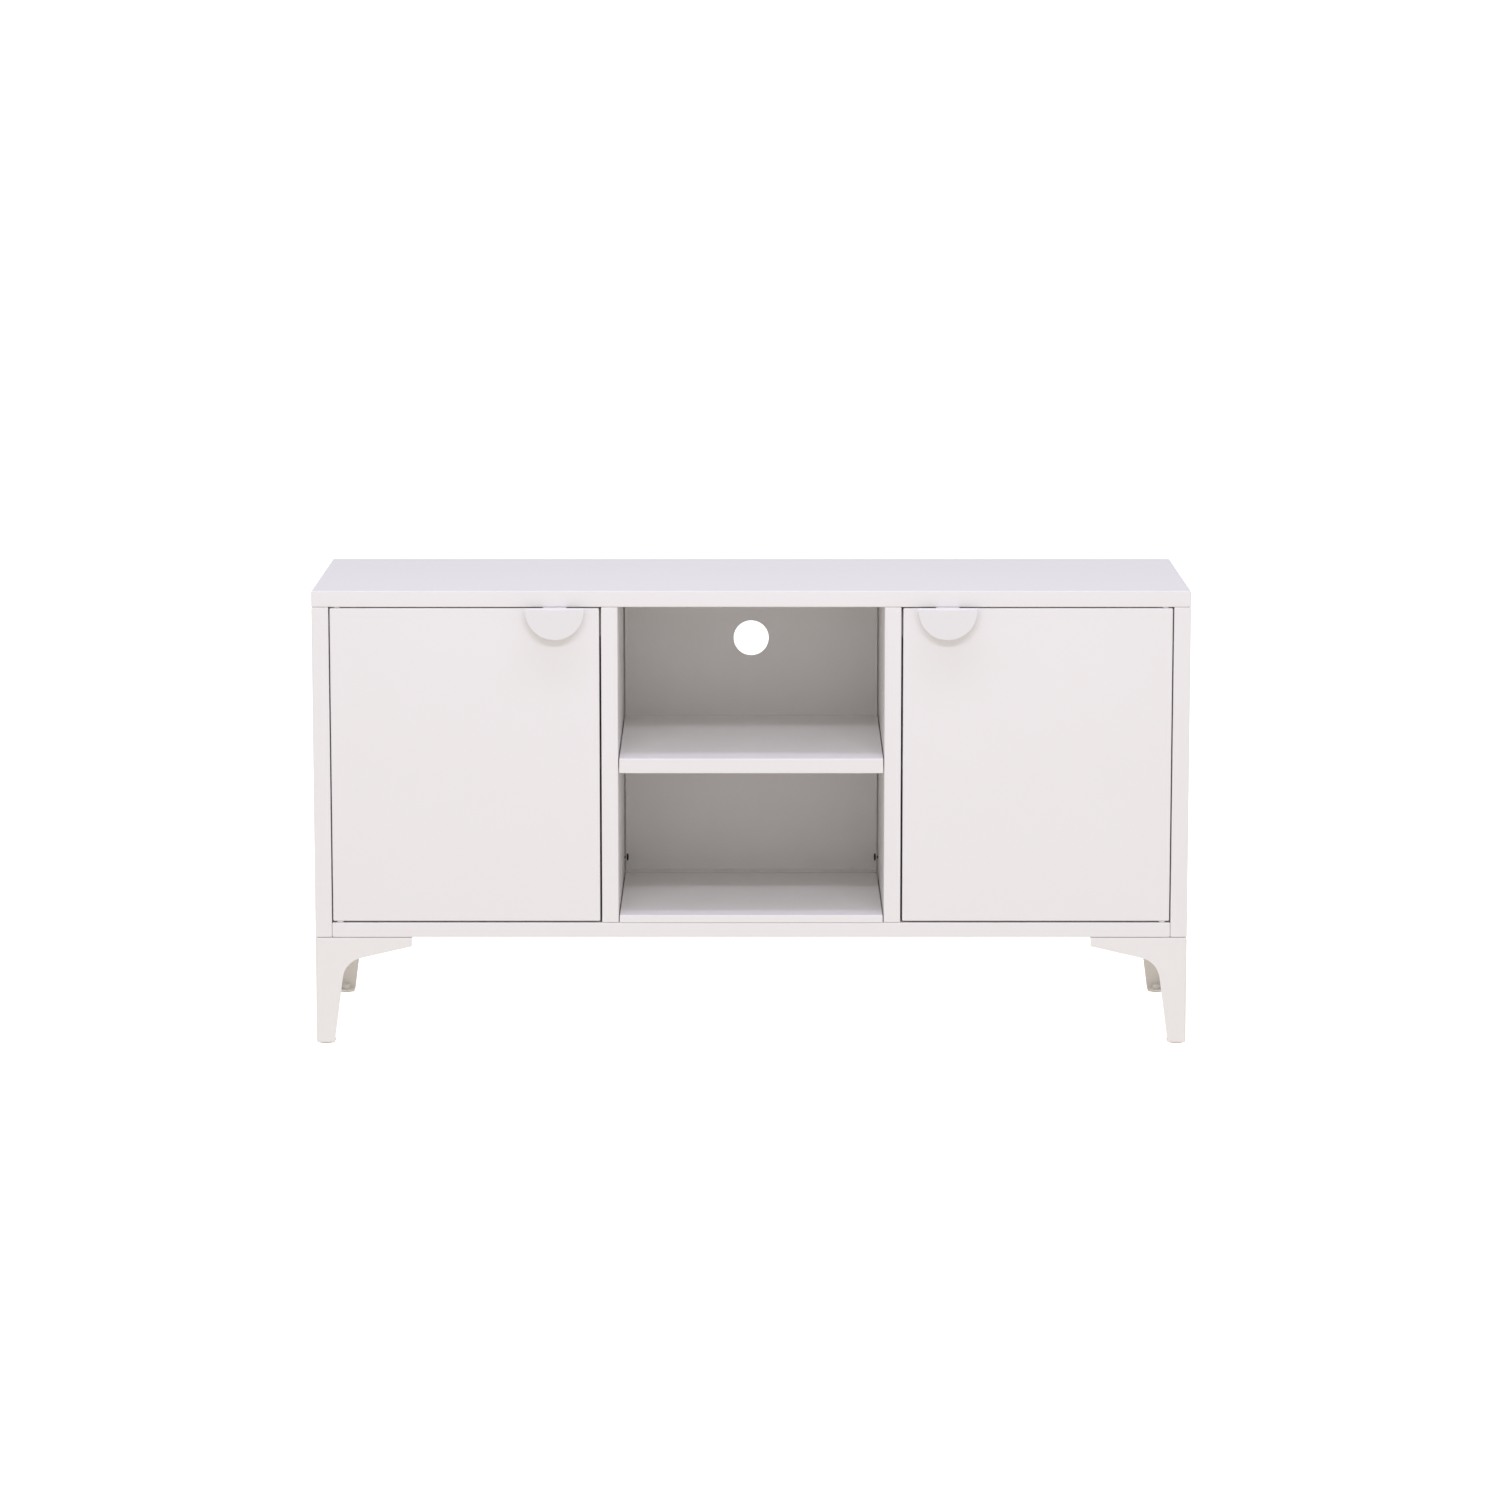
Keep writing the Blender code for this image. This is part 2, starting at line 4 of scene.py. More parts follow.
import bpy
import numpy as np
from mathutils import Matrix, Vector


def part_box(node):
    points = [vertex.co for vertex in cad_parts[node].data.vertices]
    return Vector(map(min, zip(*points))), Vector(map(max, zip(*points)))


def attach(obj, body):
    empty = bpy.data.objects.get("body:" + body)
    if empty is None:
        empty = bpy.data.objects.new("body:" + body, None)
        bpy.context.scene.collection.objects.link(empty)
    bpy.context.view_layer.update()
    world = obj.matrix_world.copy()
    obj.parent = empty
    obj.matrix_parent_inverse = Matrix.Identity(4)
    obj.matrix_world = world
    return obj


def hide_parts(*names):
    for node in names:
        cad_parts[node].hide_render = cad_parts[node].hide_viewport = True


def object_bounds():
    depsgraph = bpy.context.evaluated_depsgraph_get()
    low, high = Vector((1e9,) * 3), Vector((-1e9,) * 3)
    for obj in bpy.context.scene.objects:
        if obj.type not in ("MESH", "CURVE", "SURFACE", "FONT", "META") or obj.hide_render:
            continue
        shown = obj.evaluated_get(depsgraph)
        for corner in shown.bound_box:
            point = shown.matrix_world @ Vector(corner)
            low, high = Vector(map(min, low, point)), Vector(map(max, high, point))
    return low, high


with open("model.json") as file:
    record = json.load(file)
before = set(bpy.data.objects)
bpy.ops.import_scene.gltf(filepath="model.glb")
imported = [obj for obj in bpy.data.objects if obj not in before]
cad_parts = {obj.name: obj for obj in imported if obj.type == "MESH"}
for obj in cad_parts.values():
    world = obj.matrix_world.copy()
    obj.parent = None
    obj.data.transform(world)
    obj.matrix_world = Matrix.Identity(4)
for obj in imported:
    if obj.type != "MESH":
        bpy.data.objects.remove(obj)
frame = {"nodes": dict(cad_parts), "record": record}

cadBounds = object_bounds()
cadLow, cadHigh = (np.array(corner) for corner in cadBounds)
bodyOf = {node: body for body, nodes in frame["record"]["behaviour"]["bodies"].items() for node in nodes}
sides = (("left", -1), ("right", 1))
ends = (("front", -1), ("rear", 1))
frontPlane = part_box("top_panel")[0].y
print("frame loaded,", len(frame["nodes"]), "nodes")


studio = {
    "lens": 124.66, "sensor": 36.0,
    "cameraBack": 7.028, "cameraHeight": 1.497, "lookDown": 8.785, "shiftX": -0.0008, "farthest": 200,
    "ambient": 0.594, "ambientTint": (0.988, 0.98, 1.0),
    "floorColour": (0.80, 0.77, 0.72), "floorRoughness": 0.9, "floorSize": 400.0,
    "floorGlow": 0.206, "glowTint": (1.0, 0.925, 0.70), "floorWhite": 0.75,
}
softBoxes = {
    "keyBox": {"rise": 40.5, "away": 4.0, "size": (2.8, 0.20), "power": 37.0, "tint": (0.86, 0.865, 1.0)},
    "overBox": {"rise": 77, "away": 3.5, "size": (3.5, 0.35), "power": 33.0, "tint": (0.757, 0.714, 1.0)},
}


def aimed(thing, place, rise):
    # puts a light or camera at place, facing +Y and looking down by rise degrees
    thing.location = place
    thing.rotation_euler = (math.radians(90 - rise), 0, 0)
    return thing


def linked(name, data):
    thing = bpy.data.objects.new(name, data)
    bpy.context.scene.collection.objects.link(thing)
    return thing


def makeCamera():
    lens = bpy.data.cameras.new("viewLens")
    lens.lens, lens.sensor_width = studio["lens"], studio["sensor"]
    lens.shift_x = studio["shiftX"]
    lens.clip_end = studio["farthest"]
    place = (0, frontPlane - studio["cameraBack"], studio["cameraHeight"])
    bpy.context.scene.camera = aimed(linked("viewCamera", lens), place, studio["lookDown"])


def cameraSwitch(tree, seen, unseen, output):
    # the backdrop's look for the camera, and its light for everything else
    path, mix = tree.nodes.new("ShaderNodeLightPath"), tree.nodes.new("ShaderNodeMixShader")
    tree.links.new(path.outputs["Is Camera Ray"], mix.inputs[0])
    tree.links.new(unseen, mix.inputs[1])
    tree.links.new(seen, mix.inputs[2])
    tree.links.new(mix.outputs[0], output)


def makeStudio():
    world = bpy.data.worlds.new("softRoom")
    world.use_nodes = True
    tree = world.node_tree
    room = tree.nodes["Background"]
    room.inputs["Color"].default_value = (*studio["ambientTint"], 1)
    room.inputs["Strength"].default_value = studio["ambient"]
    white = tree.nodes.new("ShaderNodeBackground")
    white.inputs["Color"].default_value = (1, 1, 1, 1)
    cameraSwitch(tree, white.outputs[0], room.outputs[0], tree.nodes["World Output"].inputs["Surface"])
    bpy.context.scene.world = world
    bpy.context.scene.view_settings.view_transform = "Standard"
    middle = (cadLow + cadHigh) / 2
    for name, box in softBoxes.items():
        light = bpy.data.lights.new(name, "AREA")
        light.shape, light.size, light.size_y = "RECTANGLE", *box["size"]
        light.energy, light.color = box["power"], box["tint"]
        rise = math.radians(box["rise"])
        place = middle + box["away"] * np.array([0, -math.cos(rise), math.sin(rise)])
        aimed(linked(name, light), place, box["rise"])


class Wire:
    # a socket that can be reckoned with: each sum adds a Math node
    def __init__(self, finish, socket):
        self.finish, self.socket = finish, socket

    def sum(self, operation, first, second):
        return self.finish.add("ShaderNodeMath", {"operation": operation}, {0: first, 1: second})

    def __add__(self, other):
        return self.sum("ADD", self, other)

    def __sub__(self, other):
        return self.sum("SUBTRACT", self, other)

    def __rsub__(self, other):
        return self.sum("SUBTRACT", other, self)

    def __mul__(self, other):
        return self.sum("MULTIPLY", self, other)

    __radd__, __rmul__ = __add__, __mul__


class Finish:
    # one material: its Principled shader and the nodes that feed it
    def __init__(self, name, **constants):
        self.material = bpy.data.materials.new(name)
        self.material.use_nodes = True
        self.tree = self.material.node_tree
        self.shader = self.tree.nodes["Principled BSDF"]
        for socket, value in constants.items():
            self.feed(socket, value)

    def add(self, kind, settings, inputs, out=0):
        node = self.tree.nodes.new(kind)
        for key, value in settings.items():
            setattr(node, key, value)
        for key, value in inputs.items():
            if isinstance(value, Wire):
                self.tree.links.new(value.socket, node.inputs[key])
            else:
                node.inputs[key].default_value = value
        return Wire(self, node.outputs[out])

    def place(self):
        return self.add("ShaderNodeTexCoord", {}, {}, "Object")

    def noise(self, scale, detail=2.0, stretch=(1, 1, 1)):
        spot = self.add("ShaderNodeMapping", {}, {"Vector": self.place(), "Scale": stretch})
        return self.add("ShaderNodeTexNoise", {}, {"Vector": spot, "Scale": scale, "Detail": detail})

    def blend(self, share, first, second):
        inputs = {0: share, 6: (*first, 1), 7: (*second, 1)}
        return self.add("ShaderNodeMix", {"data_type": "RGBA"}, inputs, 2)

    def bump(self, height, distance, strength, under=None):
        inputs = {"Height": height, "Distance": distance, "Strength": strength}
        if under:
            inputs["Normal"] = under
        return self.add("ShaderNodeBump", {}, inputs)

    def feed(self, socket, value):
        target = self.shader.inputs[socket.replace("_", " ")]
        if isinstance(value, Wire):
            self.tree.links.new(value.socket, target)
        else:
            target.default_value = value


coat = {
    "pale": (0.925, 0.905, 0.887), "deep": (0.910, 0.890, 0.872), "patchSize": 7.0, "patchDetail": 3.0,
    "roughness": 0.40, "roughSpread": 0.08, "specular": 0.45,
    "peelSize": 900.0, "peelDetail": 2.0, "peelDepth": 0.00004, "peelStrength": 0.35,
    "waveSize": 5.0, "waveDetail": 1.0, "waveDepth": 0.0006, "waveStrength": 0.25,
    # the handles' tint paints shade onto their copy of the same coat
    # the legs' tint paints warm floor-bounce light onto their copy of the same coat
    "legTint": (1.0, 0.998, 0.985), "handleTint": (0.95, 0.955, 0.955),
}
metals = {
    "brightZinc": {
        "light": (0.68, 0.68, 0.66), "dark": (0.56, 0.56, 0.55), "roughness": 0.34, "grain": 240.0,
    },
    "darkOxide": {
        "light": (0.075, 0.070, 0.065), "dark": (0.035, 0.033, 0.030), "roughness": 0.46, "grain": 320.0,
    },
}
plating = {"detail": 4.0, "roughSpread": 0.2, "finer": 6, "depth": 0.00002, "strength": 0.3}
nylon = {
    "light": (0.88, 0.87, 0.83), "dark": (0.83, 0.81, 0.77), "cloudSize": 60.0, "cloudDetail": 3.0,
    "roughness": 0.46, "roughSpread": 0.1, "specular": 0.4,
    "skinSize": 2200.0, "skinDepth": 0.00002, "skinStrength": 0.4,
}


def powderCoat(name, tint=(1, 1, 1)):
    # off-white powder coat: broad faint patches of colour, fine orange peel, and the sheet's own slow waves
    finish = Finish(name, Specular_IOR_Level=coat["specular"])
    pale, deep = (tuple(np.array(coat[key]) * tint) for key in ("pale", "deep"))
    patches = finish.noise(coat["patchSize"], coat["patchDetail"])
    finish.feed("Base Color", finish.blend(patches, deep, pale))
    peel = finish.noise(coat["peelSize"], coat["peelDetail"])
    finish.feed("Roughness", coat["roughness"] + (peel - 0.5) * coat["roughSpread"])
    swell = finish.noise(coat["waveSize"], coat["waveDetail"])
    waves = finish.bump(swell, coat["waveDepth"], coat["waveStrength"])
    finish.feed("Normal", finish.bump(peel, coat["peelDepth"], coat["peelStrength"], waves))
    return finish.material


def metalFinish(name, light, dark, roughness, grain):
    # plated or oxidised steel: clouded colour and uneven polish
    finish = Finish(name, Metallic=1.0)
    clouds = finish.noise(grain, plating["detail"])
    finish.feed("Base Color", finish.blend(clouds, dark, light))
    finish.feed("Roughness", roughness + (clouds - 0.5) * plating["roughSpread"])
    scratches = finish.noise(grain * plating["finer"])
    finish.feed("Normal", finish.bump(scratches, plating["depth"], plating["strength"]))
    return finish.material


def nylonFinish(name):
    # moulded nylon: waxy, with a fine spark-eroded skin
    finish = Finish(name, Specular_IOR_Level=nylon["specular"])
    clouds = finish.noise(nylon["cloudSize"], nylon["cloudDetail"])
    finish.feed("Base Color", finish.blend(clouds, nylon["dark"], nylon["light"]))
    finish.feed("Roughness", nylon["roughness"] + clouds * nylon["roughSpread"])
    skin = finish.noise(nylon["skinSize"])
    finish.feed("Normal", finish.bump(skin, nylon["skinDepth"], nylon["skinStrength"]))
    return finish.material


bodyCoat = powderCoat("bodyCoat")
# the legs' copy of the body coat, tinted warm: painted floor bounce, not a different paint
legCoat = powderCoat("legCoat", coat["legTint"])
# the handles' copy of the body coat, tinted darker: painted shade, not a different paint
handleCoat = powderCoat("handleCoat", coat["handleTint"])
brightZinc = metalFinish("brightZinc", **metals["brightZinc"])
darkOxide = metalFinish("darkOxide", **metals["darkOxide"])
naturalNylon = nylonFinish("naturalNylon")
print("finishes made")


def camel(node):
    first, *rest = node.split("_")
    return first + "".join(word.capitalize() for word in rest)


def gridFaces(rows, columns):
    # quads between neighbouring rows of a grid whose columns run in a closed round
    row = np.arange(rows - 1)[:, None] * columns
    column = np.arange(columns)[None, :]
    after = (column + 1) % columns
    below, above = row, row + columns
    return np.stack([below + column, below + after, above + after, above + column], -1).reshape(-1, 4)


def closedGrid(points):
    # points[row, column]: a tube of quads whose first and last rows are capped by one flat face each
    rows, columns = points.shape[:2]
    caps = [list(range(columns))[::-1], list(range((rows - 1) * columns, rows * columns))]
    return points.reshape(-1, 3), gridFaces(rows, columns).tolist() + caps


def volume(points, faces):
    # six times the signed volume, from fans of triangles
    total = 0.0
    for face in faces:
        fan = points[face]
        total += (np.cross(fan[1:-1], fan[2:]) @ fan[0]).sum()
    return total


def facingOut(shape):
    points, faces = shape
    return (points, faces) if volume(points, faces) > 0 else (points, [face[::-1] for face in faces])


def joined(shapes):
    # several shapes as one mesh, with the corners of each numbered after those before it
    points, faces, start = [], [], 0
    for shapePoints, shapeFaces in shapes:
        points.append(shapePoints)
        faces += [[corner + start for corner in face] for face in shapeFaces]
        start += len(shapePoints)
    return np.concatenate(points), faces


def roundedRings(box, inset, radius, steps=4):
    # one rounded rectangle a row: box is low u, high u, low v, high v; inset[row, 4] moves its edges in;
    # each corner is a quarter circle of radius[row] about a centre that far in from both edges
    corner = np.repeat(np.arange(4), steps + 1)
    angle = (corner + np.tile(np.linspace(0, 1, steps + 1), 4)) * np.pi / 2
    radius = radius[:, None]
    low, high = np.array(box)[[0, 2]], np.array(box)[[1, 3]]
    uRight, vUp = np.isin(corner, (0, 3)), np.isin(corner, (0, 1))
    u = np.where(uRight, high[0] - inset[:, 1:2] - radius, low[0] + inset[:, 0:1] + radius)
    v = np.where(vUp, high[1] - inset[:, 3:4] - radius, low[1] + inset[:, 2:3] + radius)
    return u + radius * np.cos(angle), v + radius * np.sin(angle)


fold = {
    "bend": 0.0016, "sheet": 0.0010, "lip": 0.00025, "tight": 0.0002, "mouth": 0.0008, "steps": 5,
    "sharp": 0.00001, "blockSteps": 3, "tightest": 0.1,
}


def foldedPan(low, high, openTo, returns=None, bend=fold["bend"]):
    # a sheet pan, as a profile carried round a rounded rectangle: flat skin, a quarter-circle fold into the
    # wall, then either a plain lip, or a second fold and a return with its lip, and the same way back a
    # sheet's thickness further in. openTo names the side that stays open; returns gives each edge's return
    low, high = np.array(low), np.array(high)
    sheet, lip, tight = fold["sheet"], fold["lip"], fold["tight"]
    axis, sign = "xyz".index(openTo[1]), -1 if openTo[0] == "-" else 1
    across = [(axis + 1) % 3, (axis + 2) % 3]
    depth = high[axis] - low[axis]
    quarter = np.linspace(0, np.pi / 2, fold["steps"] + 1)
    back = quarter[::-1]
    inner = bend - sheet
    rows = [np.stack([bend * (1 - np.sin(quarter)), bend * (1 - np.cos(quarter))], 1)]
    if returns:
        rows.append(np.stack([bend * (1 - np.cos(quarter)), depth - bend + bend * np.sin(quarter)], 1))
        lipRow = len(rows[0]) + len(rows[1])
        under = depth - sheet
        rows.append(np.array([[-lip, depth], [0, depth - lip], [0, under + lip], [-lip, under]]))
        rows.append(np.stack([bend - inner * np.cos(back), depth - bend + inner * np.sin(back)], 1))
    else:
        rows.append(np.array([[0, depth - lip], [lip, depth], [sheet - lip, depth], [sheet, depth - lip]]))
    rows.append(np.stack([bend - inner * np.cos(quarter), bend - inner * np.sin(quarter)], 1))
    profile = np.concatenate(rows)
    inset = np.repeat(profile[:, :1], 4, 1)
    radius = np.maximum(bend - profile[:, 0], tight)
    if returns:
        lips = slice(lipRow, lipRow + 4)
        widths = [returns[s + "xyz"[a]] for a in across for s in "-+"]
        inset[lips] += np.array(widths)
        radius[lips] = fold["mouth"]
    box = [edge[a] for a in across for edge in (low, high)]
    u, v = roundedRings(box, inset, radius)
    points = np.empty((*u.shape, 3))
    points[..., across[0]], points[..., across[1]] = u, v
    points[..., axis] = (high[axis] if sign < 0 else low[axis]) + sign * profile[:, 1:2]
    return facingOut(closedGrid(points))


def turned(profile, place, axis, around):
    # a turned solid: rows of (radius, height) or (radius, height, sides) go round the axis. Where sides is
    # given the row is a polygon: its corner radius times the cosine of half a side's angle, over the cosine
    # of the angle from the nearest flat's middle
    rows = np.array([(*row, 0)[:3] for row in profile], float)
    angle = np.arange(around) * 2 * np.pi / around
    radius = np.repeat(rows[:, :1], around, 1)
    for sided in np.unique(rows[:, 2]):
        if sided:
            part = 2 * np.pi / sided
            share = np.cos(part / 2) / np.cos((angle + part / 2) % part - part / 2)
            radius = np.where(rows[:, 2:] == sided, radius * share, radius)
    return facingOut(closedGrid(stood(radius, angle, rows[:, 1:2], place, axis)))


def stood(radius, angle, height, place, axis):
    # cylinder coordinates to points: the axis direction, and two directions square to it
    up = np.array(axis, float)
    side = np.array([0, 0, 1.0]) if abs(up[2]) < 0.5 else np.array([1.0, 0, 0])
    third = np.cross(up, side)
    flat = (radius * np.cos(angle))[..., None] * side + (radius * np.sin(angle))[..., None] * third
    return np.array(place) + flat + height[..., None] * up


def rod(place, axis, radius, length, around, flare=0.0):
    # a rod centred on place, for cutting holes: where flare is given, the rod is just long enough for one
    # sheet and widens at both its faces
    half, sheet = length / 2, fold["sheet"] / 2
    rows = [(radius, -half), (radius, half)]
    if flare:
        rows = [(radius + flare, -sheet - flare), (radius + flare, -sheet), (radius, -sheet + flare),
                (radius, sheet - flare), (radius + flare, sheet), (radius + flare, sheet + flare)]
    return turned(rows, place, axis, around)


def block(low, high, ease=fold["sharp"]):
    # a box with quarter-circle edges of radius ease, carried up from its foot to its top
    low, high = np.minimum(low, high), np.maximum(low, high)
    quarter = np.linspace(0, np.pi / 2, fold["blockSteps"] + 1)
    rise, fall = ease * (1 - np.cos(quarter)), ease * (1 - np.sin(quarter))
    inset = np.concatenate([fall, rise])
    height = np.concatenate([rise, high[2] - low[2] - fall])
    radius = np.maximum(ease - inset, ease * fold["tightest"])
    u, v = roundedRings((low[0], high[0], low[1], high[1]), np.repeat(inset[:, None], 4, 1), radius)
    z = np.broadcast_to(low[2] + height[:, None], u.shape)
    return facingOut(closedGrid(np.stack([u, v, z], -1)))


def tilted(shape, angle, place):
    # turns a shape about X and then moves it
    points, faces = shape
    cos, sin = math.cos(angle), math.sin(angle)
    turn = np.array([[1, 0, 0], [0, cos, -sin], [0, sin, cos]])
    return points @ turn.T + np.array(place), faces


def meshFrom(name, shape):
    points, faces = shape
    mesh = bpy.data.meshes.new(name)
    mesh.from_pydata(points.tolist(), [], faces)
    mesh.update()
    return mesh


def applied(thing):
    # what the object's modifiers make of its mesh, as its mesh
    mesh = bpy.data.meshes.new_from_object(thing.evaluated_get(bpy.context.evaluated_depsgraph_get()))
    thing.modifiers.clear()
    thing.data = mesh


def cutAway(thing, shapes):
    cutter = linked("cutter", meshFrom("cutter", joined(shapes)))
    cut = thing.modifiers.new("holes", "BOOLEAN")
    cut.operation, cut.solver, cut.object = "DIFFERENCE", "EXACT", cutter
    applied(thing)
    bpy.data.objects.remove(cutter)


crease = math.radians(35)    # edges sharper than this stay sharp


def putPiece(name, shape, material, slot, nodes=(), body="carcass", cuts=(), foldAndThicken=None):
    # makes the mesh, finishes it, and hangs it on its body in place of its nodes
    thing = linked(name, meshFrom(name, shape))
    if foldAndThicken:
        foldAndThicken(thing)
        applied(thing)
    if cuts:
        cutAway(thing, cuts)
    thing.data.materials.clear()
    thing.data.materials.append(material)
    thing.data.polygons.foreach_set("material_index", np.zeros(len(thing.data.polygons), int))
    thing.data.shade_smooth()
    thing.data.set_sharp_from_angle(angle=crease)
    normals = thing.modifiers.new("flatFaces", "WEIGHTED_NORMAL")
    normals.keep_sharp = True
    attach(thing, body)
    if nodes:
        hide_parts(*nodes)


def standIn(node, shape, material, slot, **more):
    putPiece(camel(node), shape, material, slot, (node,), bodyOf[node], **more)


def panFor(node, openTo, returns=None, bend=fold["bend"], cuts=()):
    low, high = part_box(node)
    pan = foldedPan(low, high, openTo, returns, bend)
    standIn(node, pan, bodyCoat, "powder_coat", cuts=holesFor(node) + list(cuts))


carcass = {
    "topReturn": 0.020, "railReturn": 0.028, "postReturn": 0.055, "endReturn": 0.025,
    "shelfReturn": 0.012, "shelfHalf": 0.181, "shelfDepth": 0.330, "shelfThick": 0.0207,
    "shelfTilt": math.atan2(0.012, 0.356),
    "cableHole": 0.025, "cableHoleZ": 0.519, "holeEdge": 0.0003, "cableHoleSides": 96,
    "hem": 0.0016, "hemDepth": (0.0008, 0.0002), "hemEdge": 0.0001, "hemFit": 0.0003,
    "holeFit": 0.0004, "cutPast": 0.003, "holeSides": 32,
}
shafts = {
    "centre_shelf_pin": {"radius": 0.0030, "headRadius": 0.0050, "head": 0.0022},
    "cupboard_shelf_pin": {"radius": 0.0030, "headRadius": 0.0050, "head": 0.0022},
    "hinge_pin": {"radius": 0.0025, "headRadius": 0.0038, "head": 0.0035},
    "leg_bolt": {"radius": 0.0030, "headRadius": 0.0055, "head": 0.0037, "sided": 6},
    "back_screw": {"radius": 0.0020, "headRadius": 0.0050, "head": 0.0027},
}


def allRound(width):
    return {"-x": width, "+x": width, "-y": width, "+y": width, "-z": width, "+z": width}


def shaftSizes(node):
    # the sizes of a pin, bolt or screw, and nothing for any other node
    return next((sizes for start, sizes in shafts.items() if node.startswith(start)), None)


def corners(node):
    return (np.array(corner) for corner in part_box(node))


def holesFor(node):
    # a round hole for every pin, bolt or screw that passes through the piece; in a shelf's rim, which is let
    # down over its pins, a slot that is open below instead
    low, high = corners(node)
    shapes = []
    for shaft in sorted(filter(shaftSizes, frame["nodes"])):
        shaftLow, shaftHigh = corners(shaft)
        if np.any(shaftLow > high) or np.any(shaftHigh < low):
            continue
        along = int(np.argmax(shaftHigh - shaftLow))
        middle = (shaftLow + shaftHigh) / 2
        reach = shaftSizes(shaft)["radius"] + carcass["holeFit"]
        length = shaftHigh[along] - shaftLow[along] + carcass["cutPast"]
        if "shelf" in node:
            half = np.full(3, reach)
            half[along] = length / 2
            slotLow = middle - half
            slotLow[2] = low[2] - carcass["cutPast"]
            shapes.append(block(slotLow, middle + half))
        else:
            shapes.append(rod(middle, np.eye(3)[along], reach, length, carcass["holeSides"]))
    return shapes


def makeCarcass():
    posts = {"-y": carcass["postReturn"], "+y": carcass["postReturn"],
             "-z": carcass["endReturn"], "+z": carcass["endReturn"]}
    panFor("top_panel", "-z", allRound(carcass["topReturn"]))
    panFor("bottom_panel", "-z", allRound(carcass["railReturn"]))
    for side, sign in sides:
        inward, outward = ("+x", "-x") if sign < 0 else ("-x", "+x")
        panFor(f"side_panel_{side}", inward, posts)
        panFor(f"divider_{side}", outward, posts)
    makeBackPanels()
    print("carcass made")


def makeBackPanels():
    # each pan fits between two walls, and a narrow hem outside each flange closes the slit to the wall,
    # down to the bottom panel
    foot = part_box("bottom_panel")[1].z + carcass["hemFit"]
    for node in ("back_panel_left", "back_panel_centre", "back_panel_right"):
        low, high = corners(node)
        rear = high[1] - np.array(carcass["hemDepth"])
        holes = []
        if node == "back_panel_centre":
            middle = (0, high[1] - fold["sheet"] / 2, carcass["cableHoleZ"])
            around = carcass["cableHoleSides"]
            holes = [rod(middle, (0, 1, 0), carcass["cableHole"], 0, around, carcass["holeEdge"])]
        panFor(node, "-y", cuts=holes)
        hems = []
        for edge, sign in ((low[0], -1), (high[0], 1)):
            root, tip = edge - sign * fold["bend"], edge + sign * carcass["hem"]
            strip = block((root, rear[0], foot), (tip, rear[1], high[2]), carcass["hemEdge"])
            hems.append(strip)
        putPiece(camel(node + "_hems"), joined(hems), bodyCoat, "powder_coat")


def makeShelves():
    panFor("centre_floor_tray", "-z")
    half, depth, thick = carcass["shelfHalf"], carcass["shelfDepth"], carcass["shelfThick"]
    level = foldedPan((-half, 0, -thick), (half, depth, 0), "-z", allRound(carcass["shelfReturn"]))
    low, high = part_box("centre_shelf")
    tilt = carcass["shelfTilt"]
    place = (0, low.y, high.z - depth * math.sin(tilt))
    slots = holesFor("centre_shelf")
    standIn("centre_shelf", tilted(level, tilt, place), bodyCoat, "powder_coat", cuts=slots)
    for side, _ in sides:
        panFor(f"cupboard_shelf_{side}", "-z", allRound(carcass["shelfReturn"]))
    print("shelves made")


door = {"bend": 0.0020}
pull = {
    "radius": 0.040, "straight": 0.0004, "sheet": 0.0010, "bend": 0.0030, "bendSteps": 8, "shoulder": 0.0045,
    "tongue": 0.032, "steps": 56, "edge": 0.0003,
}
easing = {"fold": math.radians(50), "cutEdge": math.radians(60), "cutSteps": 2}


def bentAndThick(sizes):
    # folds of an open sheet rounded, then its thickness on the inner side, then its cut edges eased
    def finish(thing):
        bevel = thing.modifiers.new("folds", "BEVEL")
        bevel.width, bevel.segments = sizes["bend"], sizes["bendSteps"]
        bevel.limit_method, bevel.angle_limit = "ANGLE", easing["fold"]
        solid = thing.modifiers.new("sheet", "SOLIDIFY")
        solid.thickness, solid.offset, solid.use_even_offset = sizes["sheet"], -1, True
        ease = thing.modifiers.new("edges", "BEVEL")
        ease.width, ease.segments = sizes["edge"], easing["cutSteps"]
        ease.limit_method, ease.angle_limit = "ANGLE", easing["cutEdge"]
    return finish


def outwardFrom(points, faces, inside):
    # turns each face of an open sheet away from a point in its hollow
    turnedFaces = []
    for face in faces:
        fan = points[face]
        normal = np.cross(fan - fan[0], np.roll(fan, -1, 0) - fan[0]).sum(0)
        turnedFaces.append(face if normal @ (fan.mean(0) - inside) > 0 else face[::-1])
    return points, turnedFaces


def handleShape(node):
    # a half-round plate: an arc below a short straight, a fold at the top, and a tongue over the door's edge
    low, high = corners(node)
    middle = (low[0] + high[0]) / 2
    face, tip, top = low[1], high[1], high[2]
    radius, half = pull["radius"], pull["tongue"] / 2
    lower = top - pull["bend"] - pull["straight"]
    arc = np.linspace(0, np.pi, pull["steps"] + 1)
    rim = np.stack([middle + radius * np.cos(arc), np.full_like(arc, face), lower - radius * np.sin(arc)], 1)
    ends = [(middle - radius, face, top), (middle + radius, face, top)]
    shoulder = face + pull["shoulder"]
    outline = [(radius, shoulder), (half, shoulder), (half, tip)]
    outline += [(-x, y) for x, y in outline[::-1]]
    points = np.array([*rim, *ends, *((middle + x, y, top) for x, y in outline)])
    count = len(rim)
    plate = list(range(count + 2))
    shelf = list(range(count, count + 2 + len(outline)))
    return outwardFrom(points, [plate, shelf], np.array([middle, (face + tip) / 2, lower]))


def makeDoors():
    folded = bentAndThick(pull)
    for side, _ in sides:
        panFor(f"door_{side}", "+y", bend=door["bend"])
        panFor(f"door_liner_{side}", "-y")
        handle = f"handle_{side}"
        standIn(handle, handleShape(handle), handleCoat, "powder_coat", foldAndThicken=folded)
    print("doors made")


